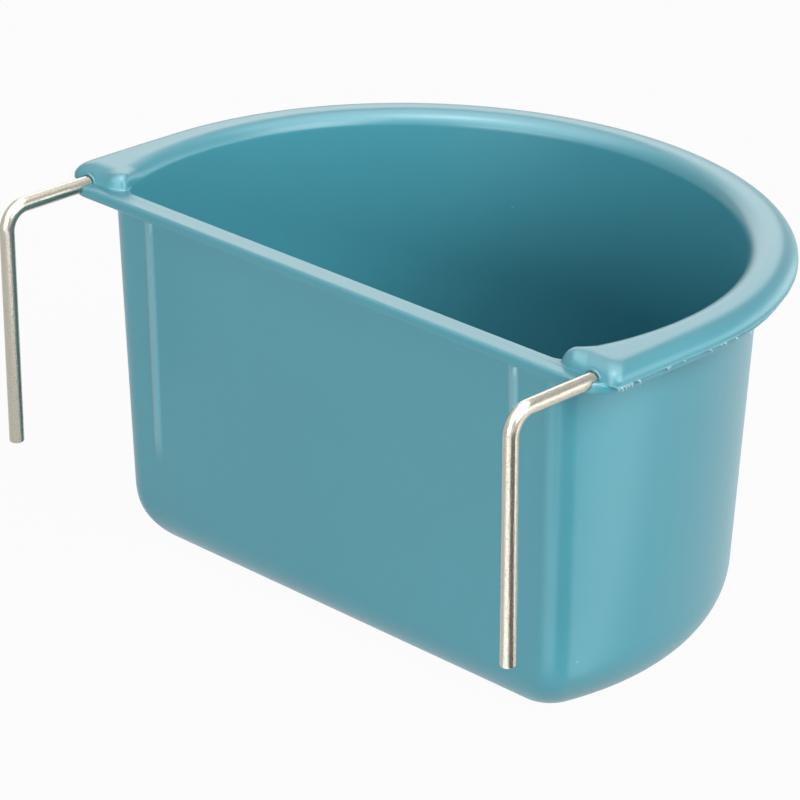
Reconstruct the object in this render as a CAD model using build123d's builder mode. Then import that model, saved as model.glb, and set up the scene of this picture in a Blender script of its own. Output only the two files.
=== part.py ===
from build123d import *
import math
import os

os.makedirs("parts", exist_ok=True)

# Wire hanger: diameter, reach in front of the cup's axis, and hook leg
wire_diameter = 3.0
hook_reach = 48.0
hook_drop = 50.0
hook_lean = 1.8
bend_radius = 1.5 * wire_diameter
cut_end_round = 0.3

# Cup: overall height, walls and drafts
cup_height = 78.5
wall_thickness = 2.6
round_wall_radius = 65.1
front_wall_offset = 27.4
round_wall_draft = 2.3
front_wall_draft = 2.8
corner_radius = 6.0
round_foot_radius = 13.0
front_foot_radius = 10.0

# The rounded feet start this far below the faces that trim them, so that they meet at a plain edge
foot_trim = 0.4

# Cuts run past the faces that they open by this much
cut_overrun = 1.0

# Rim: bead over the wire, with the thinner flange below it that also edges the flat front
bead_overhang = 7.0
bead_round = 3.0
bead_skirt = 3.4
bead_front_setback = 1.0
bead_corner_radius = 3.4
bead_inner_round = 2.8
bead_end_length = 14.7
flange_inset = 0.9
flange_thickness = 2.3
flange_drop = 2.9
flange_front_overhang = 1.9
flange_corner_radius = 5.0
flange_edge_round = 0.6

# Wire channel in the rim, from the bead's top and from its outer side
wire_drop = 3.15
wire_inset = 5.6
channel_clearance = 0.05

# Upright ribs on the flat front, set in from the bead's sides
rib_inset = 23.9
rib_width = 1.7
rib_height = 0.5
rib_end_height = 20.0
rib_taper_length = 6.0

# Values that follow from the ones above
bead_half_width = round_wall_radius + bead_overhang
bead_end_half_gap = bead_half_width - bead_end_length
wire_radius = wire_diameter / 2
wire_level = cup_height - wire_drop
hook_x = bead_half_width - wire_inset
flat_rim_level = cup_height - flange_drop
flange_underside = flat_rim_level - flange_thickness
round_slope = math.tan(math.radians(round_wall_draft))
front_slope = math.tan(math.radians(front_wall_draft))
bead_front = -front_wall_offset + bead_front_setback
flange_front = -front_wall_offset - flange_front_overhang
flange_half_width = bead_half_width - flange_inset
inner_corner_radius = corner_radius - wall_thickness
wide = 2 * bead_half_width


def round_radius(level):
    """Outer radius of the round wall at a height above the base."""
    return round_wall_radius - round_slope * (cup_height - level)


def front_y(level):
    """Outer face of the flat front wall at a height above the base."""
    return -front_wall_offset + front_slope * (cup_height - level)


def off_centre(edge):
    """True for the edges of the two front corners, which lie to one side of the middle."""
    return abs(edge.center().X) > corner_radius


# Space inside the cup, one wall thickness inside the outer shape
with BuildPart() as hollow:
    floor = wall_thickness
    with BuildSketch(Plane.XZ) as hollow_round:
        with BuildLine():
            Polyline(
                (0, floor - foot_trim),
                (round_radius(floor - foot_trim) - wall_thickness, floor - foot_trim),
                (round_radius(cup_height + cut_overrun) - wall_thickness, cup_height + cut_overrun),
                (0, cup_height + cut_overrun),
                close=True,
            )
        make_face()
        foot_corner = hollow_round.vertices().sort_by(Axis.Y)[:2].sort_by(Axis.X)[-1]
        fillet(foot_corner, round_foot_radius - wall_thickness)
    revolve(axis=Axis.Z)
    with BuildSketch(Plane.YZ) as hollow_front:
        with BuildLine():
            Polyline(
                (wide, floor - foot_trim),
                (front_y(floor - foot_trim) + wall_thickness, floor - foot_trim),
                (front_y(cup_height + cut_overrun) + wall_thickness, cup_height + cut_overrun),
                (wide, cup_height + cut_overrun),
                close=True,
            )
        make_face()
        front_corner = hollow_front.vertices().sort_by(Axis.Y)[:2].sort_by(Axis.X)[0]
        fillet(front_corner, front_foot_radius - wall_thickness)
    extrude(amount=wide, both=True, mode=Mode.INTERSECT)
    split(bisect_by=Plane.XY.offset(floor), keep=Keep.TOP)
    fillet(hollow.edges().filter_by(off_centre), inner_corner_radius)

with BuildPart() as cup:
    # Outer shape: a drafted round bowl cut off by the drafted flat front
    with BuildSketch(Plane.XZ) as bowl_round:
        with BuildLine():
            Polyline(
                (0, -foot_trim),
                (round_radius(-foot_trim), -foot_trim),
                (round_radius(flat_rim_level), flat_rim_level),
                (0, flat_rim_level),
                close=True,
            )
        make_face()
        fillet(bowl_round.vertices().sort_by(Axis.Y)[:2].sort_by(Axis.X)[-1], round_foot_radius)
    revolve(axis=Axis.Z)
    with BuildSketch(Plane.YZ) as bowl_front:
        with BuildLine():
            Polyline(
                (wide, -foot_trim),
                (front_y(-foot_trim), -foot_trim),
                (front_y(flat_rim_level), flat_rim_level),
                (wide, flat_rim_level),
                close=True,
            )
        make_face()
        fillet(bowl_front.vertices().sort_by(Axis.Y)[:2].sort_by(Axis.X)[0], front_foot_radius)
    extrude(amount=wide, both=True, mode=Mode.INTERSECT)
    split(bisect_by=Plane.XY, keep=Keep.TOP)
    fillet(cup.edges().filter_by(off_centre), corner_radius)

    # Flat flange round the whole rim
    with BuildSketch(Plane.XY.offset(flange_underside)) as flange_outline:
        with BuildLine():
            Polyline(
                (-flange_half_width, 0),
                (-flange_half_width, flange_front),
                (flange_half_width, flange_front),
                (flange_half_width, 0),
            )
            ThreePointArc((flange_half_width, 0), (0, flange_half_width), (-flange_half_width, 0))
        make_face()
        fillet(flange_outline.vertices().sort_by(Axis.Y)[:2], flange_corner_radius)
    extrude(amount=flange_thickness)
    flange_top = cup.faces().sort_by(Axis.Z)[-1]
    fillet(flange_top.outer_wire().edges(), flange_edge_round)
    flange_bottom = cup.faces().filter_by(Plane.XY).filter_by_position(
        Axis.Z, flange_underside - foot_trim, flange_underside + foot_trim
    )[0]
    fillet(flange_bottom.outer_wire().edges(), flange_edge_round)

    # Raised bead over the wire, rounded all along its upper edge
    with BuildSketch(Plane.XY.offset(cup_height - bead_skirt)) as bead_outline:
        with BuildLine():
            Polyline(
                (-bead_half_width, 0),
                (-bead_half_width, bead_front),
                (bead_half_width, bead_front),
                (bead_half_width, 0),
            )
            ThreePointArc((bead_half_width, 0), (0, bead_half_width), (-bead_half_width, 0))
        make_face()
        fillet(bead_outline.vertices().sort_by(Axis.Y)[:2], bead_corner_radius)
    extrude(amount=bead_skirt)
    fillet(cup.faces().sort_by(Axis.Z)[-1].outer_wire().edges(), bead_round)

    # Bead left away along the flat front, between its two rounded end blocks
    with BuildSketch(Plane.XZ.offset(front_wall_offset)) as front_gap:
        with BuildLine():
            block_top = bead_end_half_gap + flange_drop
            Line((-bead_end_half_gap, flat_rim_level), (bead_end_half_gap, flat_rim_level))
            CenterArc((block_top, flat_rim_level), flange_drop, 90, 90)
            Polyline(
                (block_top, cup_height),
                (block_top, cup_height + cut_overrun),
                (-block_top, cup_height + cut_overrun),
                (-block_top, cup_height),
            )
            CenterArc((-block_top, flat_rim_level), flange_drop, 0, 90)
        make_face()
    extrude(amount=bead_corner_radius + bead_round, both=True, mode=Mode.SUBTRACT)

    add(hollow.part, mode=Mode.SUBTRACT)

    # Rounded inner edge of the bead, along the round wall and then round each front corner
    lip = cup_height - bead_inner_round
    lip_radius = round_radius(lip) - wall_thickness
    corner_y = front_y(lip) + wall_thickness + inner_corner_radius
    corner_x = math.sqrt((lip_radius - inner_corner_radius) ** 2 - corner_y**2)
    corner_angle = math.atan2(corner_y, corner_x)
    sweep_start = Plane(
        origin=(0, 0, 0),
        x_dir=(math.cos(corner_angle), math.sin(corner_angle), 0),
        z_dir=(math.sin(corner_angle), -math.cos(corner_angle), 0),
    )
    with BuildSketch(sweep_start):
        with BuildLine():
            CenterArc((lip_radius + bead_inner_round, lip), bead_inner_round, 90, 90)
            Polyline(
                (lip_radius, lip),
                (lip_radius - wall_thickness, lip),
                (lip_radius - wall_thickness, cup_height),
                (lip_radius + bead_inner_round, cup_height),
            )
        make_face()
    revolve(axis=Axis.Z, revolution_arc=180 - 2 * math.degrees(corner_angle), mode=Mode.SUBTRACT)
    for side in (1, -1):
        corner_axis = Axis((side * corner_x, corner_y, 0), (0, 0, 1))
        with BuildSketch(Plane(origin=corner_axis.position, x_dir=(1, 0, 0), z_dir=(0, -1, 0))):
            with BuildLine():
                CenterArc((inner_corner_radius + bead_inner_round, lip), bead_inner_round, 90, 90)
                Polyline(
                    (inner_corner_radius, lip),
                    (0, lip),
                    (0, cup_height),
                    (inner_corner_radius + bead_inner_round, cup_height),
                )
            make_face()
        revolve(axis=corner_axis, mode=Mode.SUBTRACT)

    # Channel that the wire fills
    with BuildLine() as channel_path:
        Line((hook_x, flange_front - cut_overrun, wire_level), (hook_x, 0, wire_level))
        ThreePointArc((hook_x, 0, wire_level), (0, hook_x, wire_level), (-hook_x, 0, wire_level))
        Line((-hook_x, 0, wire_level), (-hook_x, flange_front - cut_overrun, wire_level))
    with BuildSketch(Plane(origin=channel_path.line @ 0, z_dir=channel_path.line % 0)):
        Circle(wire_radius + channel_clearance)
    sweep(mode=Mode.SUBTRACT)

    # Upright ribs on the flat front, run out to nothing at their lower ends
    rib_x = bead_half_width - rib_inset
    rib_full_height = rib_end_height + rib_taper_length
    with BuildSketch(Plane.YZ.offset(rib_x), Plane.YZ.offset(-rib_x)) as rib_sides:
        with BuildLine():
            Polyline(
                (front_y(flange_underside) + rib_height, flange_underside),
                (front_y(flange_underside) - rib_height, flange_underside),
                (front_y(rib_full_height) - rib_height, rib_full_height),
                (front_y(rib_end_height), rib_end_height),
                (front_y(rib_end_height) + rib_height, rib_end_height),
                close=True,
            )
        make_face()
    extrude(amount=rib_width / 2, both=True)

cup.part.label = "cup"
export_step(cup.part, "parts/cup.step")

# One wire: leg, bend, arm, half circle round the rim, arm, bend, leg
with BuildPart() as wire_hanger:
    lean = math.radians(hook_lean)
    tangent = bend_radius * math.tan(math.radians(90 + hook_lean) / 2)
    arm_end = -hook_reach + tangent
    leg_top_y = -hook_reach + tangent * math.sin(lean)
    leg_top_z = wire_level - tangent * math.cos(lean)
    leg_end_y = -hook_reach + hook_drop * math.sin(lean)
    leg_end_z = wire_level - hook_drop * math.cos(lean)
    middle = math.radians(90 + hook_lean) / 2
    bend_y = arm_end - bend_radius * math.sin(middle)
    bend_z = wire_level - bend_radius * (1 - math.cos(middle))
    with BuildLine() as wire_path:
        Line((hook_x, leg_end_y, leg_end_z), (hook_x, leg_top_y, leg_top_z))
        ThreePointArc(
            (hook_x, leg_top_y, leg_top_z), (hook_x, bend_y, bend_z), (hook_x, arm_end, wire_level)
        )
        Line((hook_x, arm_end, wire_level), (hook_x, 0, wire_level))
        ThreePointArc((hook_x, 0, wire_level), (0, hook_x, wire_level), (-hook_x, 0, wire_level))
        Line((-hook_x, 0, wire_level), (-hook_x, arm_end, wire_level))
        ThreePointArc(
            (-hook_x, arm_end, wire_level), (-hook_x, bend_y, bend_z), (-hook_x, leg_top_y, leg_top_z)
        )
        Line((-hook_x, leg_top_y, leg_top_z), (-hook_x, leg_end_y, leg_end_z))
    with BuildSketch(Plane(origin=wire_path.line @ 0, z_dir=wire_path.line % 0)):
        Circle(wire_radius)
    sweep()
    cut_ends = wire_hanger.faces().sort_by(Axis.Z)[:2]
    fillet(cut_ends.edges(), cut_end_round)

wire_hanger.part.label = "wire_hanger"
export_step(wire_hanger.part, "parts/wire_hanger.step")
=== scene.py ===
"""Hook-on seed cup: a moulded D-shaped cup whose rim holds the bent wire that hangs it."""
import logging
import math
from dataclasses import dataclass
from enum import Enum
from functools import cached_property
from typing import Any

import bpy
import numpy as np
from mathutils import Matrix, Vector


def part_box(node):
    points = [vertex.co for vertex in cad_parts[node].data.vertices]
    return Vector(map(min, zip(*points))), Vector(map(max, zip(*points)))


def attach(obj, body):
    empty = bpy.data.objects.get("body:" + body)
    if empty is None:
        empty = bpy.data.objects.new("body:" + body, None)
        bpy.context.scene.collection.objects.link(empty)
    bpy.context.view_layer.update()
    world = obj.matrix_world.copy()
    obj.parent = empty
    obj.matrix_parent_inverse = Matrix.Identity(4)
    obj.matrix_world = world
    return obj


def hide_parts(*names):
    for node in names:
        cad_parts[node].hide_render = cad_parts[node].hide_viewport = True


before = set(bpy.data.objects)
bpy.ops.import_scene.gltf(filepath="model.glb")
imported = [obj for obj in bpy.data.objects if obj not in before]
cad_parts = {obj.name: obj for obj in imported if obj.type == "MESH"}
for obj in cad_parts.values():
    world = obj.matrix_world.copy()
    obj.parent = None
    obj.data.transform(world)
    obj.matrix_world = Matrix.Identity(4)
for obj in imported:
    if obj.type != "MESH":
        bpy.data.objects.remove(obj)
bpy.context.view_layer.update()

MM = 0.001
QUARTER = math.pi / 2
TURN = 2.0 * math.pi
MIRROR = np.array([-1.0, 1.0, 1.0])
BODY = "root"
LOG = logging.getLogger("seed_cup")

Array = np.ndarray
Colour = tuple[float, float, float, float]
Place = tuple[float, float, float]
Pair = tuple[float, float]


class Plan(Enum):
    """Outlines that the cup's level curves follow, seen from above."""

    CUT_CIRCLE = "circle cut off by the flat front"
    STRAIGHT_SIDED = "half circle carried forward by straight sides to the flat front"


def smooth_step(low: float, high: float, value: Array) -> Array:
    """Rise from 0 at low to 1 at high by the cubic 3t^2 - 2t^3."""
    t = np.clip((np.asarray(value) - low) / (high - low), 0.0, 1.0)
    return t * t * (3.0 - 2.0 * t)


def eased(value: Array, bend: float) -> Array:
    """Follow a value above 0 and stay near 0 below it, by the hyperbola (v + hypot(v, bend)) / 2."""
    return (value + np.hypot(value, bend)) / 2.0


def waves(position: Array, wavelength: float, seed: int, terms: int = 5) -> Array:
    """Repeatable roughness along a line: a sum of sines of falling length and random phase.

    Args:
        position: Distance along the line.
        wavelength: Longest wave.
        seed: Seed of the phases.
        terms: Number of sines, each shorter and weaker than the one before.

    Returns:
        Values of about -1 to 1.
    """
    shorter, weaker = 0.61, 0.7
    phase = np.random.default_rng(seed).uniform(0.0, TURN, terms)
    order = np.arange(terms)
    angle = TURN * np.asarray(position)[..., None] / (wavelength * shorter**order) + phase
    return (np.sin(angle) * weaker**order).sum(-1) / (weaker**order).sum()


def column(*values: float) -> Array:
    """Numbers as a column, one a ring."""
    return np.array(values)[:, None]


def even_shares(count: int) -> Array:
    """A column of even shares from 0 to 1."""
    return np.linspace(0.0, 1.0, count)[:, None]


def quarter_turn(count: int) -> Array:
    """A column of even angles from 0 to a quarter turn."""
    return np.linspace(0.0, QUARTER, count)[:, None]


def distance_along(path: Array) -> Array:
    """Distance of each point of a path from its first one."""
    return np.concatenate([[0.0], np.cumsum(np.linalg.norm(np.diff(path, axis=0), axis=-1))])


def between(first: Array, last: Array, share: Array) -> Array:
    """Rings that lie a column of shares of the way from one ring of points to another."""
    return first + share[..., None] * (last - first)


def lifted(plan: Array, level: Any) -> Array:
    """Set rings of plan points at one height, a column of heights or a height for each point."""
    return np.concatenate([plan, np.broadcast_to(level, plan.shape[:2])[..., None]], -1)


def band_marks(bands: list[Array], marked: Array, mark: Array) -> Array:
    """Marks of all bands of rings: those of the marked band, and 0 on the rest."""
    return np.concatenate([mark if band is marked else np.zeros(band.shape[:2]) for band in bands])


def new_piece(name: str, points: Array, faces: list[Array]) -> bpy.types.Object:
    """Make a smooth mesh object at the origin from points in millimetres.

    Args:
        name: Piece name.
        points: Vertices, one row each.
        faces: Index arrays, each of one face size.

    Returns:
        The new object.
    """
    mesh = bpy.data.meshes.new(name)
    mesh.from_pydata((points * MM).tolist(), [], [face for block in faces for face in block.tolist()])
    mesh.polygons.foreach_set("use_smooth", np.ones(len(mesh.polygons), bool))
    mesh.update()
    piece = bpy.data.objects.new(name, mesh)
    bpy.context.scene.collection.objects.link(piece)
    return piece


def write_mark(piece: bpy.types.Object, name: str, values: Array) -> None:
    """Store one number a point that the materials read.

    Args:
        piece: The piece.
        name: Attribute name.
        values: One number for each point.
    """
    layer = piece.data.attributes.new(name, "FLOAT", "POINT")
    layer.data.foreach_set("value", np.ascontiguousarray(values))


def capped_faces(rings: int, around: int) -> list[Array]:
    """Faces of a stack of closed rings with one point before the first ring and one after the last.

    Args:
        rings: Number of rings.
        around: Points in a ring.

    Returns:
        Faces that look outwards when the rings run anticlockwise and each next ring lies outside.
    """
    index = 1 + np.arange(rings * around).reshape(rings, around)
    ahead = np.roll(index, -1, axis=1)
    first, last = np.full(around, 0), np.full(around, 1 + index.size)
    return [
        np.stack([first, index[0], ahead[0]], -1),
        np.stack([index[:-1], index[1:], ahead[1:], ahead[:-1]], -1).reshape(-1, 4),
        np.stack([last, ahead[-1], index[-1]], -1),
    ]


@dataclass(frozen=True)
class Stations:
    """Places along half an outline where every level curve of the cup has a point.

    Attributes:
        front_x: X of the stations on the flat front, from 0.
        side_share: Shares of the rest of the outline, ending with 1 at the middle of the back.
        front_reach: X of the last front station.
        corner_share: How far round its corner, as a share of the radius, a short front reaches.
    """

    front_x: Array
    side_share: Array
    front_reach: float
    corner_share: float = 0.55

    @property
    def around(self) -> int:
        """Number of points in a whole ring."""
        return 2 * (len(self.front_x) + len(self.side_share) - 1)

    @staticmethod
    def whole(half: Array, mirror: Array) -> Array:
        """Close half rings of points or marks into whole ones, times mirror on the other half."""
        return np.concatenate([half, half[:, -2:0:-1] * mirror], axis=1)


@dataclass(frozen=True)
class Outline:
    """Level curves of one kind, one for each entry of the arrays, in millimetres.

    Attributes:
        plan: Kind of outline.
        radius: Radius of the round back, which is also half the width of a straight-sided one.
        front: Y of the flat front.
        corner: Radius of the two front corners.
    """

    plan: Plan
    radius: Array
    front: Array
    corner: Array

    @property
    def corner_x(self) -> Array:
        """X of the right corner's centre."""
        if self.plan is Plan.STRAIGHT_SIDED:
            return self.radius - self.corner
        return np.sqrt((self.radius - self.corner) ** 2 - (self.front + self.corner) ** 2)

    def grown(self, amount: Array) -> "Outline":
        """The same outline set outwards by an amount."""
        return Outline(self.plan, self.radius + amount, self.front - amount, self.corner + amount)

    def points(self, stations: Stations) -> Array:
        """Points of the right half, from the middle of the front round to the middle of the back.

        The half outline is measured along its length: a straight front, the corner arc, a straight
        side where it has one, and the round back. Front stations stand at a set X, and the rest at
        even shares of what is left of the length.

        Args:
            stations: Where the points lie.

        Returns:
            Array of curves by stations by X and Y.
        """
        radius, front, corner = (np.atleast_1d(np.asarray(a, float))[:, None]
                                 for a in np.broadcast_arrays(self.radius, self.front, self.corner))
        centre_x = Outline(self.plan, radius, front, corner).corner_x
        centre_y = front + corner
        cut = self.plan is Plan.CUT_CIRCLE
        turn_end = np.arctan2(centre_y, centre_x) if cut else np.zeros_like(radius)
        side = np.zeros_like(radius) if cut else -centre_y
        end_corner = centre_x + corner * (turn_end + QUARTER)
        end_side = end_corner + side
        end_back = end_side + radius * (QUARTER - turn_end)

        reach = np.minimum(stations.front_reach, centre_x + stations.corner_share * corner)
        x = stations.front_x[None, :] * reach / stations.front_reach
        bend = np.arcsin(np.clip((x - centre_x) / corner, 0.0, 1.0))
        length_front = np.minimum(x, centre_x) + corner * bend
        start = length_front[:, -1:]
        length = np.hstack([length_front, start + (end_back - start) * stations.side_share[None, :]])

        turn = np.clip((length - centre_x) / corner, 0.0, turn_end + QUARTER) - QUARTER
        straight = np.clip(length - end_corner, 0.0, side)
        back = turn_end + np.clip(length - end_side, 0.0, None) / radius
        on_back = length > end_side
        px = np.where(on_back, radius * np.cos(back),
                      np.minimum(length, centre_x) + corner * np.cos(turn))
        py = np.where(on_back, radius * np.sin(back), centre_y + corner * np.sin(turn) + straight)
        px[:, -1] = 0.0
        return np.stack([px, py], -1)


@dataclass(frozen=True)
class FootedWall:
    """Upright section of a drafted wall that runs into a floor through a rounded foot.

    Attributes:
        top: Distance of the wall from the axis at the top level.
        top_level: Height of that level.
        slope: Draft, as a tangent.
        foot: Radius of the foot.
        floor: Height at which the foot's arc would lie flat.
    """

    top: float
    top_level: float
    slope: float
    foot: float
    floor: float

    def distance(self, level: Array) -> Array:
        """Distance from the axis: the straight draft above, and the arc tangent to it below.

        Args:
            level: Heights.

        Returns:
            The distances.
        """
        lean = math.atan(self.slope)
        centre_level = self.floor + self.foot
        centre = self.top - self.slope * (self.top_level - centre_level) - self.foot / math.cos(lean)
        straight = self.top - self.slope * (self.top_level - level)
        drop = np.clip(centre_level - level, 0.0, self.foot)
        return np.where(level < centre_level - self.foot * math.sin(lean),
                        centre + np.sqrt(self.foot**2 - drop**2), straight)


@dataclass
class CupMoulding:
    """The plastic cup in one skin: floor, walls, rim bead with its end blocks, flange and ribs.

    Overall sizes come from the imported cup's box, and the rest are the moulding's own, in millimetres.
    The bead's two roundings take at most a share of its width. Its skirt fades in over the range
    skirt_overhang of the distance by which the bead stands out past the flange.
    """

    height: float
    bead_half_width: float
    flange_front: float
    wall: float = 2.6
    round_wall: float = 65.1
    front_wall: float = 27.4
    round_slope: float = math.tan(math.radians(2.3))
    front_slope: float = math.tan(math.radians(2.8))
    corner: float = 6.0
    round_foot: float = 13.0
    front_foot: float = 10.0
    foot_trim: float = 0.4
    bead_rise: float = 2.9
    bead_round: float = 5.2
    bead_round_share: float = 0.56
    bead_inner_round: float = 4.4
    bead_inner_share: float = 0.4
    bead_front: float = -26.4
    bead_corner: float = 2.2
    bead_skirt: float = 0.5
    bead_toe: float = 0.045
    skirt_overhang: Pair = (-1.0, 0.8)
    skirt_edge: float = 0.12
    flash_height: float = 0.15
    flash_lip: float = 0.06
    flash_wave: float = 9.0
    flash_seed: int = 4
    block_end: float = 58.6
    block_round: float = 3.2
    block_bend: float = 1.8
    flange_inset: float = 0.9
    flange_thickness: float = 2.3
    flange_corner: float = 6.5
    flange_edge: float = 0.7
    flange_root: float = 1.0
    rim_edge: float = 0.08
    rib_x: float = 48.2
    rib_width: float = 2.5
    rib_height: float = 0.45
    rib_power: float = 1.5
    rib_end: float = 20.0
    rib_taper: float = 7.0

    @classmethod
    def from_frame(cls) -> "CupMoulding":
        """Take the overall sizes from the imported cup."""
        low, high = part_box("cup")
        return cls(height=high.z / MM, bead_half_width=high.x / MM, flange_front=low.y / MM)

    @property
    def rim_level(self) -> float:
        """Height of the flat rim's top."""
        return self.height - self.bead_rise

    @property
    def flange_bottom(self) -> float:
        """Height of the flange's underside."""
        return self.rim_level - self.flange_thickness

    @property
    def root_level(self) -> float:
        """Height at which the rounding under the flange meets the wall."""
        return self.flange_bottom - self.flange_root

    @cached_property
    def stations(self) -> Stations:
        """Stations, close together at the ribs, the block ends and the front corners."""
        inner = self.wall_outline(np.array([self.rim_level]), inside=True)
        reach = float(inner.corner_x[0]) + Stations.corner_share * float(inner.corner[0])
        half_rib, gap_before, gap_past = 0.75 * self.rib_width, 0.6, 0.5
        front = np.concatenate([
            np.linspace(0.0, self.rib_x - half_rib - gap_before, 24),
            np.linspace(self.rib_x - half_rib, self.rib_x + half_rib, 21),
            np.linspace(self.rib_x + half_rib + gap_past, reach, 18),
        ])
        corner_end, crowding = 0.17, 1.1
        corner = corner_end * np.linspace(0.0, 1.0, 80)[1:] ** crowding
        back = np.linspace(corner_end, 1.0, 104)[1:]
        return Stations(front, np.concatenate([corner, back]), reach)

    def wall_outline(self, level: Array, inside: bool) -> Outline:
        """Outline of the wall's outer or inner face at given heights.

        Args:
            level: Heights.
            inside: True for the inner face.

        Returns:
            One level curve for each height.
        """
        thick = self.wall if inside else 0.0
        back, front = (
            FootedWall(top - thick, self.height, slope, foot - thick, thick - self.foot_trim).distance(level)
            for top, slope, foot in ((self.round_wall, self.round_slope, self.round_foot),
                                     (self.front_wall, self.front_slope, self.front_foot)))
        return Outline(Plan.CUT_CIRCLE, back, -front, np.full(np.shape(level), self.corner - thick))

    def wall_curve(self, level: float, inside: bool, outset: float = 0.0) -> Array:
        """Half stations by X and Y of one face of the wall at one height, set outwards."""
        return self.wall_outline(np.array([level]), inside).grown(outset).points(self.stations)[0]

    def floor_rings(self, inside: bool) -> Array:
        """Half rings of the floor's upper or under face, from the middle outwards."""
        level = self.wall if inside else 0.0
        return lifted(self.wall_curve(level, inside) * even_shares(9)[1:-1, :, None], level)

    def wall_rings(self, inside: bool) -> Array:
        """Rings of one face of the wall up to the flange's root, close together in the foot.

        Args:
            inside: True for the inner face.

        Returns:
            Half rings from the floor upwards.
        """
        base = self.wall if inside else 0.0
        past_taper = self.rib_end + 1.2 * self.rib_taper
        level = np.concatenate([
            base + (self.round_foot - base) * (1.0 - np.cos(quarter_turn(22))),
            np.linspace(self.round_foot, past_taper, 16)[1:, None],
            np.linspace(past_taper, self.root_level, 15)[1:, None],
        ])
        return lifted(self.wall_outline(level[:, 0], inside).points(self.stations), level)

    def inner_top_rings(self, top: Array) -> Array:
        """Half rings of the inner face from the flange's root up to the rim's height at each station."""
        level = even_shares(6)[1:-1] * (top - self.root_level) + self.root_level
        return lifted(self.wall_outline(level.mean(1), True).points(self.stations), level)

    def add_ribs(self, rings: Array) -> tuple[Array, Array]:
        """Raise the two upright ribs on the flat front of the outer wall.

        Across, a rib is a power of the bump 1 - u^2 of its half width, and it fades in over its taper.

        Args:
            rings: Half rings of the outer wall.

        Returns:
            The rings with the ribs, and how far up its rib each point stands, which the material uses as a
            painted sheen on the rib crests.
        """
        across = np.clip(1.0 - ((rings[..., 0] - self.rib_x) / (self.rib_width / 2)) ** 2, 0.0, 1.0)
        rise = smooth_step(self.rib_end, self.rib_end + self.rib_taper, rings[..., 2])
        share = across**self.rib_power * rise * (rings[..., 1] < 0.0)
        rings[..., 1] -= self.rib_height * share
        # The share returned last paints sheen on the rib crests, standing in for the highlight that their
        # rounded faces catch.
        return rings, np.sqrt(share)

    def bead_level(self, plan: Array, near: Array, inner_edge: Array) -> Array:
        """Heights over the bead.

        The bead stands on the flat rim. Where a point is nearer than a rounding radius to the inner
        wall or the bead's outer side, that nearness q counts from 0 to 1, and e is the nearness to a
        block's end, which runs across the flat rim and then slants back over the mouth. The bead rises
        by its height times the root of 1 - q^2 - e^2, eased to 0 at its toe.

        Args:
            plan: Rings by half stations by X and Y, from the inner wall outwards.
            near: A column of q.
            inner_edge: A column of weights of the rounding of the flat rim's inner edge.

        Returns:
            A height for each point.
        """
        behind = eased(plan[..., 1] - plan[0, 0, 1], self.block_bend)
        end = np.clip(1.0 - (plan[..., 0] + behind - self.block_end) / self.block_round, 0.0, None)
        rest = 1.0 - near**2 - end**2
        rise = self.bead_rise * np.sqrt(eased(rest, self.bead_toe) / eased(1.0, self.bead_toe))
        return self.rim_level + rise - self.rim_edge * np.minimum(end, 1.0) ** 2 * inner_edge

    def rim_rings(self) -> tuple[Array, Array]:
        """Rings over the rim: the bead, its ragged parting edge, the flange and the hollow below it.

        Returns:
            Half rings from the inner wall's top edge to the outer wall, and the points' flash weights, which
            paint the parting edge pale, partly as whitened flash and partly as a painted highlight.
        """
        flange = Outline(Plan.STRAIGHT_SIDED, self.bead_half_width - self.flange_inset,
                         self.flange_front, self.flange_corner)
        side = Outline(Plan.STRAIGHT_SIDED, self.bead_half_width - self.flash_height,
                       self.bead_front, self.bead_corner)
        bead, edge, soft, sharp = (outline.points(self.stations)[0] for outline in (
            side, flange, flange.grown(-self.flange_edge), flange.grown(-self.skirt_edge)))
        inner = self.wall_curve(self.rim_level, True)
        width = np.linalg.norm(bead - inner, axis=-1)
        outward = (bead - inner) / width[:, None]
        skirt = smooth_step(*self.skirt_overhang, ((bead - edge) * outward).sum(-1))

        inner_round = np.minimum(self.bead_inner_round, self.bead_inner_share * width)
        outer_round = np.minimum(self.bead_round, self.bead_round_share * width)
        turn, flat = quarter_turn(12), even_shares(7)[1:-1]
        run = np.concatenate([
            inner_round * (1.0 - np.cos(turn)),
            inner_round + flat * (width - inner_round - outer_round),
            width - outer_round * (1.0 - np.cos(turn[::-1])),
        ])
        near = np.concatenate([np.cos(turn), 0.0 * flat, np.cos(turn[::-1])])
        inner_edge = np.concatenate([1.0 - np.sin(turn), 0.0 * flat, 0.0 * turn])
        plan = inner + outward * run[..., None]
        top = lifted(plan, self.bead_level(plan, near, inner_edge))

        wave = waves(distance_along(bead), self.flash_wave, self.flash_seed)
        ragged = np.clip(0.5 + 0.5 * wave, 0.0, 1.0) * skirt
        fin = column(0.0, 0.35, 1.0, 0.75) * ragged * self.flash_height
        step = column(0.02, 0.04, 0.06, 0.08) * (1.0 - skirt)
        fall = column(0.35, 0.75, 1.0, 1.0)
        shelf_level = self.rim_level - self.bead_skirt * skirt
        level = self.rim_level + (shelf_level - self.rim_level) * fall
        level[-1] -= self.flash_lip * skirt
        parting = lifted(bead + outward * (step + fin)[..., None], level)
        # Pale share of the torn flash: partly whitened torn plastic, partly a painted highlight along the
        # bead's lower edge.
        torn_and_sheen = column(0.2, 0.7, 1.0, 0.8) * skirt

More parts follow.
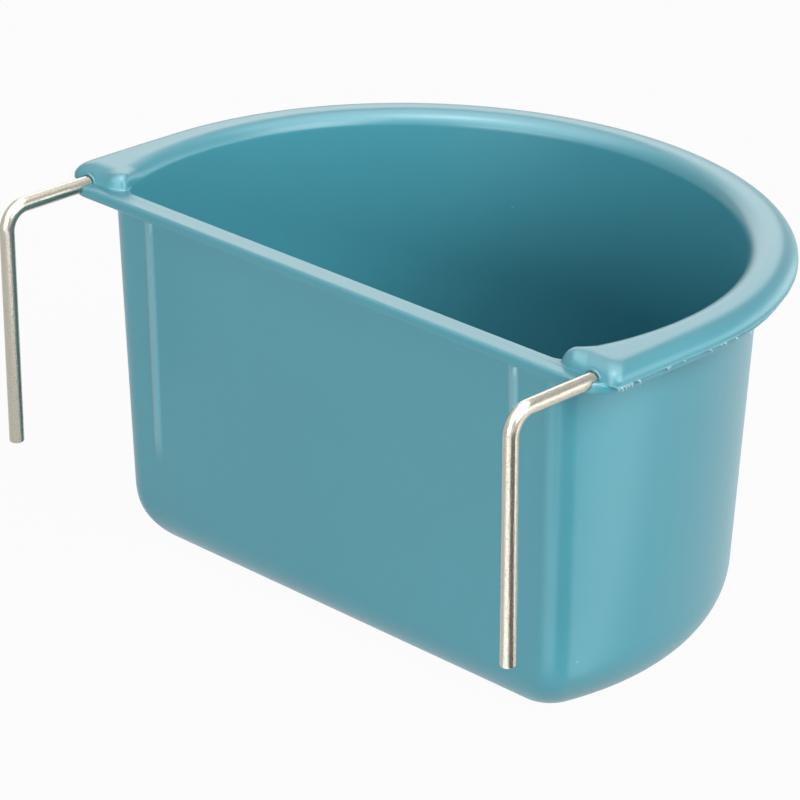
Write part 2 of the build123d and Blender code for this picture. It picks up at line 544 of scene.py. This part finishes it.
        shelf_end = soft + (sharp - soft) * skirt[:, None]
        turn = quarter_turn(7)[1:]
        upper_round = self.flange_edge + (self.skirt_edge - self.flange_edge) * skirt
        upper = shelf_level - upper_round * (1.0 - np.cos(turn))
        down = column(0.3, 0.65, 1.0)
        low_edge = self.flange_bottom + self.flange_edge
        root = self.wall_curve(self.flange_bottom, False, self.flange_root)
        hollow = turn[:-1]
        bands = [
            top,
            parting,
            between(parting[-1], lifted(shelf_end[None], shelf_level)[0], even_shares(7)[1:]),
            lifted(between(shelf_end, edge, np.sin(turn)), upper),
            lifted(between(edge, edge, down), upper[-1] * (1.0 - down) + low_edge * down),
            lifted(between(edge, soft, 1.0 - np.cos(turn)), low_edge - self.flange_edge * np.sin(turn)),
            lifted(between(soft, root, even_shares(6)[1:]), self.flange_bottom),
            lifted(between(root, self.wall_curve(self.root_level, False), np.sin(hollow)),
                   self.flange_bottom - self.flange_root * (1.0 - np.cos(hollow))),
        ]
        return np.concatenate(bands), band_marks(bands, parting, torn_and_sheen)

    def build(self) -> bpy.types.Object:
        """Join all rings into one closed skin, from the middle of the floor to that of the underside.

        Returns:
            The cup, with two attributes on its points: flash, which paints the torn parting flash pale,
            partly as whitened plastic and partly as a painted highlight, and one for the painted sheen on
            the rib crests.
        """
        rim, torn_and_sheen = self.rim_rings()
        outer, painted_sheen = self.add_ribs(self.wall_rings(False)[::-1])
        bands = [self.floor_rings(True), self.wall_rings(True), self.inner_top_rings(rim[0, :, 2]),
                 rim, outer, self.floor_rings(False)[::-1]]
        rings = Stations.whole(np.concatenate(bands), MIRROR)
        points = np.concatenate([
            [[0.0, 0.0, self.wall]], rings.reshape(-1, 3), [[0.0, 0.0, 0.0]],
        ])
        piece = new_piece("cup_moulding", points, capped_faces(len(rings), self.stations.around))
        # The flash mark paints the torn flash pale, partly a painted highlight; the rib mark is a painted
        # sheen on the rib crests.
        for name, marked, mark in (("flash", rim, torn_and_sheen), ("wear_and_sheen", outer, painted_sheen)):
            whole = Stations.whole(band_marks(bands, marked, mark), np.ones(1))
            write_mark(piece, name, np.concatenate([[0.0], whole.ravel(), [0.0]]))
        return piece


def tube(path: Array, sideways: Array, radius: Array, around: int) -> tuple[Array, list[Array], Array]:
    """Carry a circle along a line: centre + r (cos a * sideways + sin a * sideways x tangent).

    Args:
        path: Points of the line.
        sideways: Unit vectors square to the line, one a point.
        radius: Radius at each point.
        around: Points in a circle.

    Returns:
        Points, faces with both ends closed, and for each point its distance along and share of a turn.
    """
    along = distance_along(path)
    tangent = np.gradient(path, along, axis=0)
    tangent /= np.linalg.norm(tangent, axis=-1)[:, None]
    upward = np.cross(sideways, tangent)
    share = np.arange(around) / around
    angle = (TURN * share)[None, :, None]
    ring = np.cos(angle) * sideways[:, None] + np.sin(angle) * upward[:, None]
    rings = path[:, None] + radius[:, None, None] * ring
    points = np.concatenate([path[:1], rings.reshape(-1, 3), path[-1:]])
    place = np.stack(np.meshgrid(along, share, indexing="ij"), -1).reshape(-1, 2)
    place = np.concatenate([[[0.0, 0.0]], place, [[along[-1], 0.0]]])
    return points, capped_faces(len(path), around), place


@dataclass
class WireHanger:
    """The bent wire: two hook legs, their bends and arms, and the half turn inside the rim bead.

    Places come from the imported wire's box, in millimetres. The counts are the points of the right
    half: on its cut end, leg, bend, arm and quarter turn.
    """

    arm_x: float
    level: float
    leg_end: float
    front: float
    radius: float = 1.5
    bend: float = 4.5
    lean: float = math.radians(1.8)
    cut_round: float = 0.3
    cut_margin: float = 1.0
    around: int = 40
    counts: tuple[int, ...] = (7, 60, 30, 46, 72)

    @classmethod
    def from_frame(cls) -> "WireHanger":
        """Take the wire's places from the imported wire."""
        low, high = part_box("wire_hanger")
        return cls(arm_x=high.x / MM - cls.radius, level=high.z / MM - cls.radius,
                   leg_end=low.z / MM, front=low.y / MM)

    def half_path(self) -> tuple[Array, Array, Array]:
        """Centreline of the right half, from the leg's cut end to the middle of the back.

        Straight runs joined by tangent arcs: the leaning leg, the bend in the upright plane of the
        arm, the level arm, and a quarter turn about the cup's axis. The cut end is rounded by a
        quarter circle of the radius.

        Returns:
            The points, the sideways direction and the radius at each of them.
        """
        cut_count, leg_count, bend_count, arm_count, loop_count = self.counts
        tangent = self.bend * math.tan((QUARTER + self.lean) / 2)
        centre = np.array([self.front + self.radius + self.bend, self.level - self.bend])
        corner = centre + np.array([-tangent, self.bend])
        leg = np.array([math.sin(self.lean), -math.cos(self.lean)])
        drop = (self.level - self.leg_end - self.radius * math.sin(self.lean)) / math.cos(self.lean)
        cut = np.linspace(QUARTER, 0.0, cut_count)
        depth = self.cut_round * (1.0 - np.sin(cut))
        down = np.concatenate([drop - depth, np.linspace(drop - self.cut_margin, tangent, leg_count)])
        straight = corner + leg * down[:, None]
        turn = math.pi + self.lean - np.linspace(0.0, QUARTER + self.lean, bend_count)[1:, None]
        arc = centre + self.bend * np.hstack([np.cos(turn), np.sin(turn)])
        arm_y = np.linspace(arc[-1, 0], 0.0, arm_count)[1:]
        arm = np.stack([arm_y, np.full(len(arm_y), self.level)], -1)
        upright = np.insert(np.concatenate([straight, arc, arm]), 0, self.arm_x, axis=1)
        angle = quarter_turn(loop_count)[1:]
        outward = np.hstack([np.cos(angle), np.sin(angle), np.zeros_like(angle)])
        loop = self.arm_x * outward + np.array([0.0, 0.0, self.level])
        sideways = np.concatenate([np.tile([1.0, 0.0, 0.0], (len(upright), 1)), outward])
        radius = np.full(len(sideways), self.radius)
        radius[:len(cut)] -= self.cut_round * (1.0 - np.cos(cut))
        return np.concatenate([upright, loop]), sideways, radius

    def build(self) -> bpy.types.Object:
        """Carry a circle along the whole line, the right half and its mirror image.

        Returns:
            The wire, with the attributes along, in millimetres, and round, in shares of a turn.
        """
        path, sideways, radius = self.half_path()
        points, faces, place = tube(
            np.concatenate([path, path[-2::-1] * MIRROR]),
            np.concatenate([sideways, sideways[-2::-1] * MIRROR]),
            np.concatenate([radius, radius[-2::-1]]),
            self.around,
        )
        piece = new_piece("hanger_wire", points, faces)
        write_mark(piece, "along", place[:, 0])
        write_mark(piece, "round", place[:, 1])
        return piece


@dataclass
class MouldingFlash:
    """Slivers of plastic left along the parting line under the bead, and the lips round the wire.

    Sizes are in millimetres. The grids give points along and around one sliver or lip.
    """

    cup: CupMoulding
    wire: WireHanger
    sliver_radius: float = 0.2
    sliver_inset: float = 0.1
    sliver_drop: float = 0.05
    sliver_grid: tuple[int, int] = (15, 8)
    lip_radius: float = 0.24
    lip_gap: float = 0.1
    lip_depth: float = 0.12
    lip_ragged: float = 0.16
    lip_grid: tuple[int, int] = (72, 16)
    seed: int = 11

    def edge_point(self, distance: Array) -> tuple[Array, Array]:
        """Points of the bead's lower right edge, measured from the start of its front corner.

        The edge is the corner's quarter circle followed by the straight side.

        Args:
            distance: Distances along the edge.

        Returns:
            Points and outward directions, in plan.
        """
        radius = self.cup.bead_corner
        centre = np.array([self.cup.bead_half_width - self.cup.flash_height - radius,
                           self.cup.bead_front + radius])
        turn = np.clip(distance / radius, 0.0, QUARTER) - QUARTER
        outward = np.stack([np.cos(turn), np.sin(turn)], -1)
        past = np.clip(distance - radius * QUARTER, 0.0, None)
        return centre + radius * outward + past[:, None] * np.array([0.0, 1.0]), outward

    def sliver(self, start: float, length: float, curl: float) -> tuple[Array, Array, Array]:
        """One sliver: it follows the edge and hangs in a widening curl below the bead.

        Along the sliver, t from 0 to 1, it goes ahead by length * sin(curl t) / curl and down by
        length * (1 - cos(curl t)) / curl, and its radius swells and tapers as sqrt(t) (1 - t).

        Args:
            start: Distance of its root along the edge.
            length: Length of the sliver.
            curl: Turn from root to tip, in radians.

        Returns:
            Points, sideways directions and radii.
        """
        root, swell = 0.12, 1.9
        t = np.linspace(0.0, 1.0, self.sliver_grid[0])
        ahead = length * np.sin(curl * t) / curl
        below = length * (1.0 - np.cos(curl * t)) / curl
        edge, outward = self.edge_point(start + ahead)
        level = self.cup.rim_level - self.cup.bead_skirt - self.sliver_drop
        points = np.concatenate([edge - self.sliver_inset * outward, (level - below)[:, None]], -1)
        sideways = np.insert(outward, 2, 0.0, axis=1)
        return points, sideways, self.sliver_radius * (root + swell * np.sqrt(t) * (1.0 - t))

    def build_slivers(self) -> bpy.types.Object:
        """All slivers of the near front corner and side, in one piece."""
        draw = np.random.default_rng(self.seed)
        corner_starts = draw.uniform(1.6, 7.6, 14)
        single_starts = [15.2, 15.8, 27.0]
        side_starts = draw.uniform(16.0, 44.0, 6)
        starts = np.concatenate([corner_starts, single_starts, side_starts])
        lengths = draw.uniform(0.7, 1.8, len(starts))
        curls = draw.uniform(0.8, 2.6, len(starts))
        points, faces, count = [], [], 0
        for start, length, curl in zip(starts, lengths, curls):
            one, blocks, _ = tube(*self.sliver(start, length, curl), self.sliver_grid[1])
            faces += [block + count for block in blocks]
            points.append(one)
            count += len(one)
        piece = new_piece("parting_slivers", np.concatenate(points), faces)
        # Slivers take the full pale flash colour, partly whitened plastic and partly a painted highlight.
        write_mark(piece, "flash", np.ones(count))
        return piece

    def build_lips(self) -> bpy.types.Object:
        """Rings of plastic drawn out round the wire where it leaves the two blocks.

        Each is a circle of the wire's radius plus a gap, carried as a thick closed ring: the ring's
        section is a circle of the lip's radius, made ragged by waves of half a turn and less.
        """
        major = self.wire.radius + self.lip_gap + self.lip_radius
        share, section = (np.arange(count) / count for count in self.lip_grid)
        ragged = self.lip_ragged * waves(share, 0.5, self.seed)
        thick = self.lip_radius * (1.0 + ragged)[:, None]
        turn, section = TURN * share[:, None], TURN * section
        out = major + thick * np.cos(section)
        depth = self.cup.bead_front + self.lip_depth - thick * np.sin(section)
        ring = np.stack([out * np.cos(turn), depth, out * np.sin(turn)], -1).reshape(-1, 3)
        index = np.arange(len(ring)).reshape(self.lip_grid)
        ahead, beside = np.roll(index, -1, 0), np.roll(index, -1, 1)
        quads = np.stack([index, ahead, np.roll(ahead, -1, 1), beside], -1).reshape(-1, 4)
        centre = np.array([self.wire.arm_x, 0.0, self.wire.level])
        points = np.concatenate([ring + centre, ring + centre * MIRROR])
        return new_piece("exit_lips", points, [quads, quads + len(ring)])


class Value:
    """A shader socket that Python expressions can use as a number."""

    def __init__(self, shader: "Shader", socket: bpy.types.NodeSocket) -> None:
        """Wrap a socket of a shader."""
        self.shader = shader
        self.socket = socket

    def _with(self, operation: str, first: Any, second: Any) -> "Value":
        """Add a Math node."""
        return self.shader.value("ShaderNodeMath", {"operation": operation}, {0: first, 1: second})

    def __add__(self, other: Any) -> "Value":
        """Sum."""
        return self._with("ADD", self, other)

    __radd__ = __add__

    def __mul__(self, other: Any) -> "Value":
        """Product."""
        return self._with("MULTIPLY", self, other)

    __rmul__ = __mul__

    def __rsub__(self, other: Any) -> "Value":
        """Difference from a number."""
        return self._with("SUBTRACT", other, self)

    def above(self, low: float, high: float) -> "Value":
        """Smooth step from 0 at low to 1 at high."""
        return self.shader.value(
            "ShaderNodeMapRange", {"interpolation_type": "SMOOTHSTEP"}, {0: self, 1: low, 2: high})


class Shader:
    """A material or world under construction."""

    def __init__(self, owner: Any) -> None:
        """Empty the node tree of a material or world."""
        owner.use_nodes = True
        self.tree = owner.node_tree
        self.tree.nodes.clear()

    def node(self, kind: str, settings: dict[str, Any] | None = None,
             inputs: dict[Any, Any] | None = None) -> bpy.types.Node:
        """Add a node, set it up and feed its inputs.

        Args:
            kind: Node type.
            settings: Properties, set first.
            inputs: Values or links, by socket name or number.

        Returns:
            The node.
        """
        made = self.tree.nodes.new(kind)
        for name, setting in (settings or {}).items():
            setattr(made, name, setting)
        for name, given in (inputs or {}).items():
            given = given.socket if isinstance(given, Value) else given
            if isinstance(given, bpy.types.NodeSocket):
                self.tree.links.new(given, made.inputs[name])
            else:
                made.inputs[name].default_value = given
        return made

    def value(self, kind: str, settings: dict[str, Any] | None = None,
              inputs: dict[Any, Any] | None = None, output: Any = 0) -> Value:
        """Add a node and wrap one of its outputs, given by name or number."""
        return Value(self, self.node(kind, settings, inputs).outputs[output])

    def place(self) -> Value:
        """Object coordinates."""
        return self.value("ShaderNodeTexCoord", output="Object")

    def mark(self, name: str) -> Value:
        """The number that a piece's points store under a name."""
        return self.value("ShaderNodeAttribute", {"attribute_name": name}, output="Fac")

    def noise(self, place: Value, scale: float, detail: float = 2.0, rough: float = 0.5) -> Value:
        """Noise of a number of cells a metre."""
        return self.value("ShaderNodeTexNoise", None, {
            "Vector": place, "Scale": scale, "Detail": detail, "Roughness": rough})

    def blend(self, share: Value, first: Any, second: Any) -> Value:
        """Mix two colours, by a share of the second."""
        return self.value("ShaderNodeMix", {"data_type": "RGBA", "blend_type": "MIX"},
                          {0: share, 6: first, 7: second}, output=2)

    def bump(self, strength: float, depth: float, height: Value) -> bpy.types.NodeSocket:
        """Normals of a relief whose height of 1 stands for a depth in metres."""
        return self.node("ShaderNodeBump", None, {
            "Strength": strength, "Distance": depth, "Height": height}).outputs[0]

    def finish(self, surface: bpy.types.Node, kind: str = "ShaderNodeOutputMaterial") -> None:
        """Send a shader node to the output."""
        self.node(kind, None, {"Surface": surface.outputs[0]})


def rgba(red: float, green: float, blue: float) -> Colour:
    """Opaque linear colour."""
    return (red, green, blue, 1.0)


WHITE = rgba(1.0, 1.0, 1.0)


@dataclass(frozen=True)
class MouldedPlastic:
    """Satin polypropylene: soft gloss, a fine mould grain, dust, haze and pale torn flash.

    Torn flash takes a share of the pale colour, partly as whitened plastic and partly as a painted
    highlight along the parting edge; the ribs take a painted sheen of it on their crests, and specks of
    dust a share of it too. The index is that of refraction, and the grain's height is in metres.
    """

    colour: Colour = rgba(0.07, 0.335, 0.415)
    pale: Colour = rgba(0.5, 0.74, 0.8)
    # Shares of the pale colour: torn flash, partly whitened plastic and partly a painted highlight; painted
    # sheen on the rib crests; dust specks.
    torn_sheen_pale: float = 0.8
    rib_sheen_pale: float = 0.26
    speck_pale: float = 0.45
    roughness: float = 0.32
    index: float = 1.6
    grain: float = 0.00002

    def material(self, name: str) -> bpy.types.Material:
        """Make the material.

        Args:
            name: Material name.

        Returns:
            The material.
        """
        made = bpy.data.materials.new(name)
        shader = Shader(made)
        place = shader.place()
        haze = shader.noise(place, scale=28.0, detail=3.0)
        mottle = shader.noise(place, scale=240.0)
        skin = shader.noise(place, scale=1500.0, detail=3.0)
        cells = shader.node("ShaderNodeTexVoronoi", {"feature": "F1"}, {"Vector": place, "Scale": 150.0})
        chance = shader.value("ShaderNodeSeparateColor", None, {"Color": cells.outputs["Color"]})
        outside = Value(shader, cells.outputs["Distance"]).above(low=0.02, high=0.07)
        speck = (1.0 - outside) * chance.above(low=0.9, high=0.93)
        frayed = shader.noise(place, scale=700.0, detail=3.0).above(low=0.35, high=0.6)
        # Pale torn flash, partly a painted highlight along the parting edge.
        torn_and_sheen = shader.mark("flash").above(low=0.4, high=0.95) * (0.45 + 0.55 * frayed)
        shade = 0.94 + 0.08 * haze + 0.04 * mottle
        base = shader.value("ShaderNodeVectorMath", {"operation": "SCALE"},
                            {"Vector": self.colour[:3], "Scale": shade})
        dusty = shader.blend(self.speck_pale * speck, base, self.pale)
        # Painted sheen on the rib crests, and pale torn flash that is partly a painted highlight.
        painted_sheen = self.torn_sheen_pale * torn_and_sheen + self.rib_sheen_pale * shader.mark("wear_and_sheen")
        shader.finish(shader.node("ShaderNodeBsdfPrincipled", None, {
            "Base Color": shader.blend(painted_sheen, dusty, self.pale),
            "Roughness": self.roughness - 0.04 + 0.08 * haze + 0.1 * torn_and_sheen,
            "IOR": self.index,
            "Normal": shader.bump(strength=0.5, depth=self.grain, height=skin + 2.0 * mottle)}))
        return made


@dataclass(frozen=True)
class PlatedWire:
    """Nickel-plated drawn wire: fine lines along it, a grainy skin, dull spots and a warm tint.

    Attributes:
        colour: Colour of the plating.
        dull: Colour where it has worn dull.
        roughness: Gloss of clean plating.
        grain: Height of the skin, in metres.
        line_cells: Cells of the drawing lines in a millimetre along the wire.
        line_count: Cells of the drawing lines in a turn round it.
    """

    colour: Colour = rgba(0.47, 0.445, 0.38)
    dull: Colour = rgba(0.2, 0.185, 0.15)
    roughness: float = 0.17
    grain: float = 0.00004
    line_cells: float = 0.25
    line_count: float = 40.0

    def material(self, name: str) -> bpy.types.Material:
        """Make the material.

        Args:
            name: Material name.

        Returns:
            The material.
        """
        made = bpy.data.materials.new(name)
        shader = Shader(made)
        place = shader.place()
        drawn = shader.value("ShaderNodeCombineXYZ", None, {
            0: shader.mark("along") * self.line_cells, 1: shader.mark("round") * self.line_count})
        lines = shader.noise(drawn, scale=1.0, detail=4.0, rough=0.6)
        skin = shader.noise(place, scale=2600.0, detail=3.0, rough=0.6)
        # Dull worn spots of the plating, real wear.
        wear_and_sheen = shader.noise(place, scale=2200.0, detail=4.0, rough=0.65).above(low=0.5, high=0.75)
        share = 0.45 * wear_and_sheen + 0.3 * lines.above(low=0.55, high=0.7)
        shader.finish(shader.node("ShaderNodeBsdfPrincipled", None, {
            "Base Color": shader.blend(share, self.colour, self.dull),
            "Roughness": self.roughness + 0.1 * wear_and_sheen + 0.12 * lines,
            "Metallic": 1.0,
            "Normal": shader.bump(strength=0.7, depth=self.grain, height=skin + 1.4 * lines)}))
        return made


@dataclass
class Studio:
    """White floor, soft lamps, reflecting cards and the camera.

    The camera's angles are in degrees, its azimuth from the front. The lamps face the aim. The floor
    cards lie between two reaches from their apex, and the wall cards stand in a drum round the axis.
    Lens, sensor and the cards' places are in millimetres, and all other lengths in metres.
    """

    eye: Place = (0.4807, -0.5170, 0.3584)
    azimuth: float = 43.22
    pitch: float = 24.18
    roll: float = 1.286
    lens: float = 177.72
    sensor: float = 36.0
    view_end: float = 100.0
    floor_size: float = 12.0
    floor_grey: Colour = rgba(0.45, 0.45, 0.45)
    floor_white: float = 0.96
    fill: float = 0.2
    aim: Place = (0.0, 0.0, 0.05)
    apex: Place = (56.0, -24.0, 1.0)
    reach: Pair = (14.0, 420.0)
    drum: float = 700.0

    def camera(self) -> None:
        """Place the camera at the photograph's viewing angle."""
        data = bpy.data.cameras.new("camera")
        data.sensor_width = self.sensor
        data.lens = self.lens
        data.clip_end = self.view_end
        made = bpy.data.objects.new("camera", data)
        bpy.context.scene.collection.objects.link(made)
        made.matrix_world = (
            Matrix.Translation(self.eye)
            @ Matrix.Rotation(math.radians(self.azimuth), 4, "Z")
            @ Matrix.Rotation(math.radians(90.0 - self.pitch), 4, "X")
            @ Matrix.Rotation(math.radians(self.roll), 4, "Z")
        )
        bpy.context.scene.camera = made

    @staticmethod
    def seen(shader: Shader) -> Value:
        """1 for rays that show the background: camera, glossy and transmission rays."""
        path = shader.node("ShaderNodeLightPath")
        names = ("Is Camera Ray", "Is Glossy Ray", "Is Transmission Ray")
        first, second, third = (Value(shader, path.outputs[name]) for name in names)
        return first + second + third

    def floor(self) -> None:
        """Lay the floor, which shows white and keeps the soft shadow."""
        half = 0.5 * self.floor_size / MM
        corners = half * np.array([[-1.0, -1.0, 0.0], [1.0, -1.0, 0.0], [1.0, 1.0, 0.0], [-1.0, 1.0, 0.0]])
        floor = new_piece("floor", corners, [np.array([[0, 1, 2, 3]])])
        made = bpy.data.materials.new("white_floor")
        shader = Shader(made)
        plain = shader.node("ShaderNodeBsdfDiffuse", None, {"Color": self.floor_grey})
        glow = shader.node("ShaderNodeEmission", None, {"Color": WHITE, "Strength": 1.0})
        shader.finish(shader.node("ShaderNodeMixShader", None, {
            0: self.floor_white * self.seen(shader), 1: plain.outputs[0], 2: glow.outputs[0]}))
        floor.data.materials.append(made)

    def sky(self) -> None:
        """Fill the scene from a plain surround that shows as white."""
        world = bpy.data.worlds.new("studio")
        bpy.context.scene.world = world
        shader = Shader(world)
        around = shader.node("ShaderNodeBackground", None, {"Color": WHITE, "Strength": self.fill})
        shown = shader.node("ShaderNodeBackground", None, {"Color": WHITE, "Strength": 1.0})
        shader.finish(shader.node("ShaderNodeMixShader", None, {
            0: self.seen(shader), 1: around.outputs[0], 2: shown.outputs[0]}), "ShaderNodeOutputWorld")

    def card(self, name: str, first: Array, second: Array, radiance: float) -> None:
        """Set up a card between two rows of points, which only shows in reflections.

        Args:
            name: Card name.
            first: One row, in millimetres.
            second: The other row.
            radiance: Brightness, where 1 is white.
        """
        count = len(first)
        index = np.arange(count - 1)
        quads = np.stack([index, index + count, index + count + 1, index + 1], -1)
        card = new_piece(name, np.concatenate([first, second]), [quads])
        made = bpy.data.materials.new(name)
        shader = Shader(made)
        shader.finish(shader.node("ShaderNodeEmission", None, {"Color": WHITE, "Strength": radiance}))
        card.data.materials.append(made)
        card.visible_camera = card.visible_diffuse = card.visible_shadow = False
        card.visible_transmission = card.visible_volume_scatter = False

    @staticmethod
    def rays(azimuths: Pair, count: int = 25) -> Array:
        """Level unit vectors between two azimuths, in degrees from the X axis."""
        angle = np.radians(np.linspace(*azimuths, count))
        return np.stack([np.cos(angle), np.sin(angle), np.zeros(count)], -1)

    def floor_card(self, name: str, azimuths: Pair, radiance: float) -> None:
        """Lay a card shaped as a sector on the floor in front of the cup's near corner.

        Args:
            name: Card name.
            azimuths: First and last azimuth in degrees from the X axis.
            radiance: Brightness.
        """
        near, far = (np.array(self.apex) + distance * self.rays(azimuths) for distance in self.reach)
        self.card(name, near, far, radiance)

    def wall_card(self, name: str, azimuths: Pair, heights: Pair, radiance: float) -> None:
        """Stand a card shaped as part of a drum round the cup.

        Args:
            name: Card name.
            azimuths: First and last azimuth in degrees from the X axis.
            heights: Heights of its lower and upper edge, in millimetres.
            radiance: Brightness.
        """
        low, high = (self.drum * self.rays(azimuths) + [0.0, 0.0, level] for level in heights)
        self.card(name, high, low, radiance)

    def ceiling_card(self, name: str, wide: Pair, deep: Pair, height: float, radiance: float) -> None:
        """Hang a rectangular card face down over the cup.

        Args:
            name: Card name.
            wide: Its reach in X, in millimetres.
            deep: Its reach in Y.
            height: Its height.
            radiance: Brightness.
        """
        front, back = (np.array([[x, y, height] for x in wide]) for y in deep)
        self.card(name, front, back, radiance)

    def lamp(self, name: str, place: Place, size: Pair, radiance: float) -> None:
        """Hang a rectangular soft lamp.

        Args:
            name: Lamp name.
            place: Its middle, in metres.
            size: Width and height, in metres.
            radiance: Brightness of its face, where 1 is white.
        """
        data = bpy.data.lights.new(name, "AREA")
        data.shape = "RECTANGLE"
        data.size, data.size_y = size
        data.energy = radiance * math.pi * size[0] * size[1]
        made = bpy.data.objects.new(name, data)
        bpy.context.scene.collection.objects.link(made)
        made.location = place
        made.rotation_mode = "QUATERNION"
        made.rotation_quaternion = (Vector(self.aim) - Vector(place)).to_track_quat("-Z", "Y")
        made.visible_camera = False

    def build(self) -> None:
        """Set up the stage."""
        self.floor()
        self.sky()
        self.lamp("front_lamp", place=(0.32, -1.5, 0.32), size=(1.0, 0.64), radiance=6.1)
        self.lamp("right_lamp", place=(1.26, 0.06, 0.95), size=(1.2, 1.0), radiance=5.2)
        self.floor_card("left_reflector", azimuths=(-98.0, -50.0), radiance=2.2)
        self.floor_card("dark_flag", azimuths=(-50.0, 10.0), radiance=0.25)
        self.floor_card("right_reflector", azimuths=(10.0, 42.0), radiance=2.2)
        self.wall_card("back_reflector", azimuths=(112.0, 158.0), heights=(215.0, 520.0), radiance=3.0)
        self.ceiling_card("ceiling_reflector", wide=(-1000.0, 1000.0), deep=(-2600.0, 900.0),
                          height=1500.0, radiance=4.0)
        self.ceiling_card("ceiling_lamp", wide=(-180.0, 340.0), deep=(-560.0, -40.0),
                          height=1480.0, radiance=10.0)
        self.wall_card("side_reflector", azimuths=(20.0, 95.0), heights=(5.0, 290.0), radiance=2.8)
        self.wall_card("back_flag", azimuths=(20.0, 112.0), heights=(300.0, 1000.0), radiance=0.7)
        self.camera()
        bpy.context.scene.view_settings.view_transform = "Standard"


def dress(piece: bpy.types.Object, material: bpy.types.Material, slot: str, *nodes: str) -> None:
    """Give a piece its material, hang it under the body and hide the CAD nodes that it stands for.

    Args:
        piece: The piece.
        material: Its material.
        slot: Not used.
        nodes: CAD nodes that it stands for.
    """
    piece.data.materials.append(material)
    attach(piece, BODY)
    if nodes:
        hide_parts(*nodes)
    LOG.info("%s: %d faces", piece.name, len(piece.data.polygons))


def main() -> None:
    """Build the cup, its flash and its wire, dress them, and set the stage."""
    logging.basicConfig(level=logging.INFO, format="%(name)s %(message)s")
    plastic = MouldedPlastic().material("teal_plastic")
    plated = PlatedWire().material("plated_wire")
    cup = CupMoulding.from_frame()
    wire = WireHanger.from_frame()
    flash = MouldingFlash(cup, wire)
    dress(cup.build(), plastic, "cup_plastic", "cup")
    dress(flash.build_slivers(), plastic, "cup_plastic")
    dress(flash.build_lips(), plastic, "cup_plastic")
    dress(wire.build(), plated, "hanger_wire", "wire_hanger")
    Studio().build()


if __name__ == "__main__":
    main()
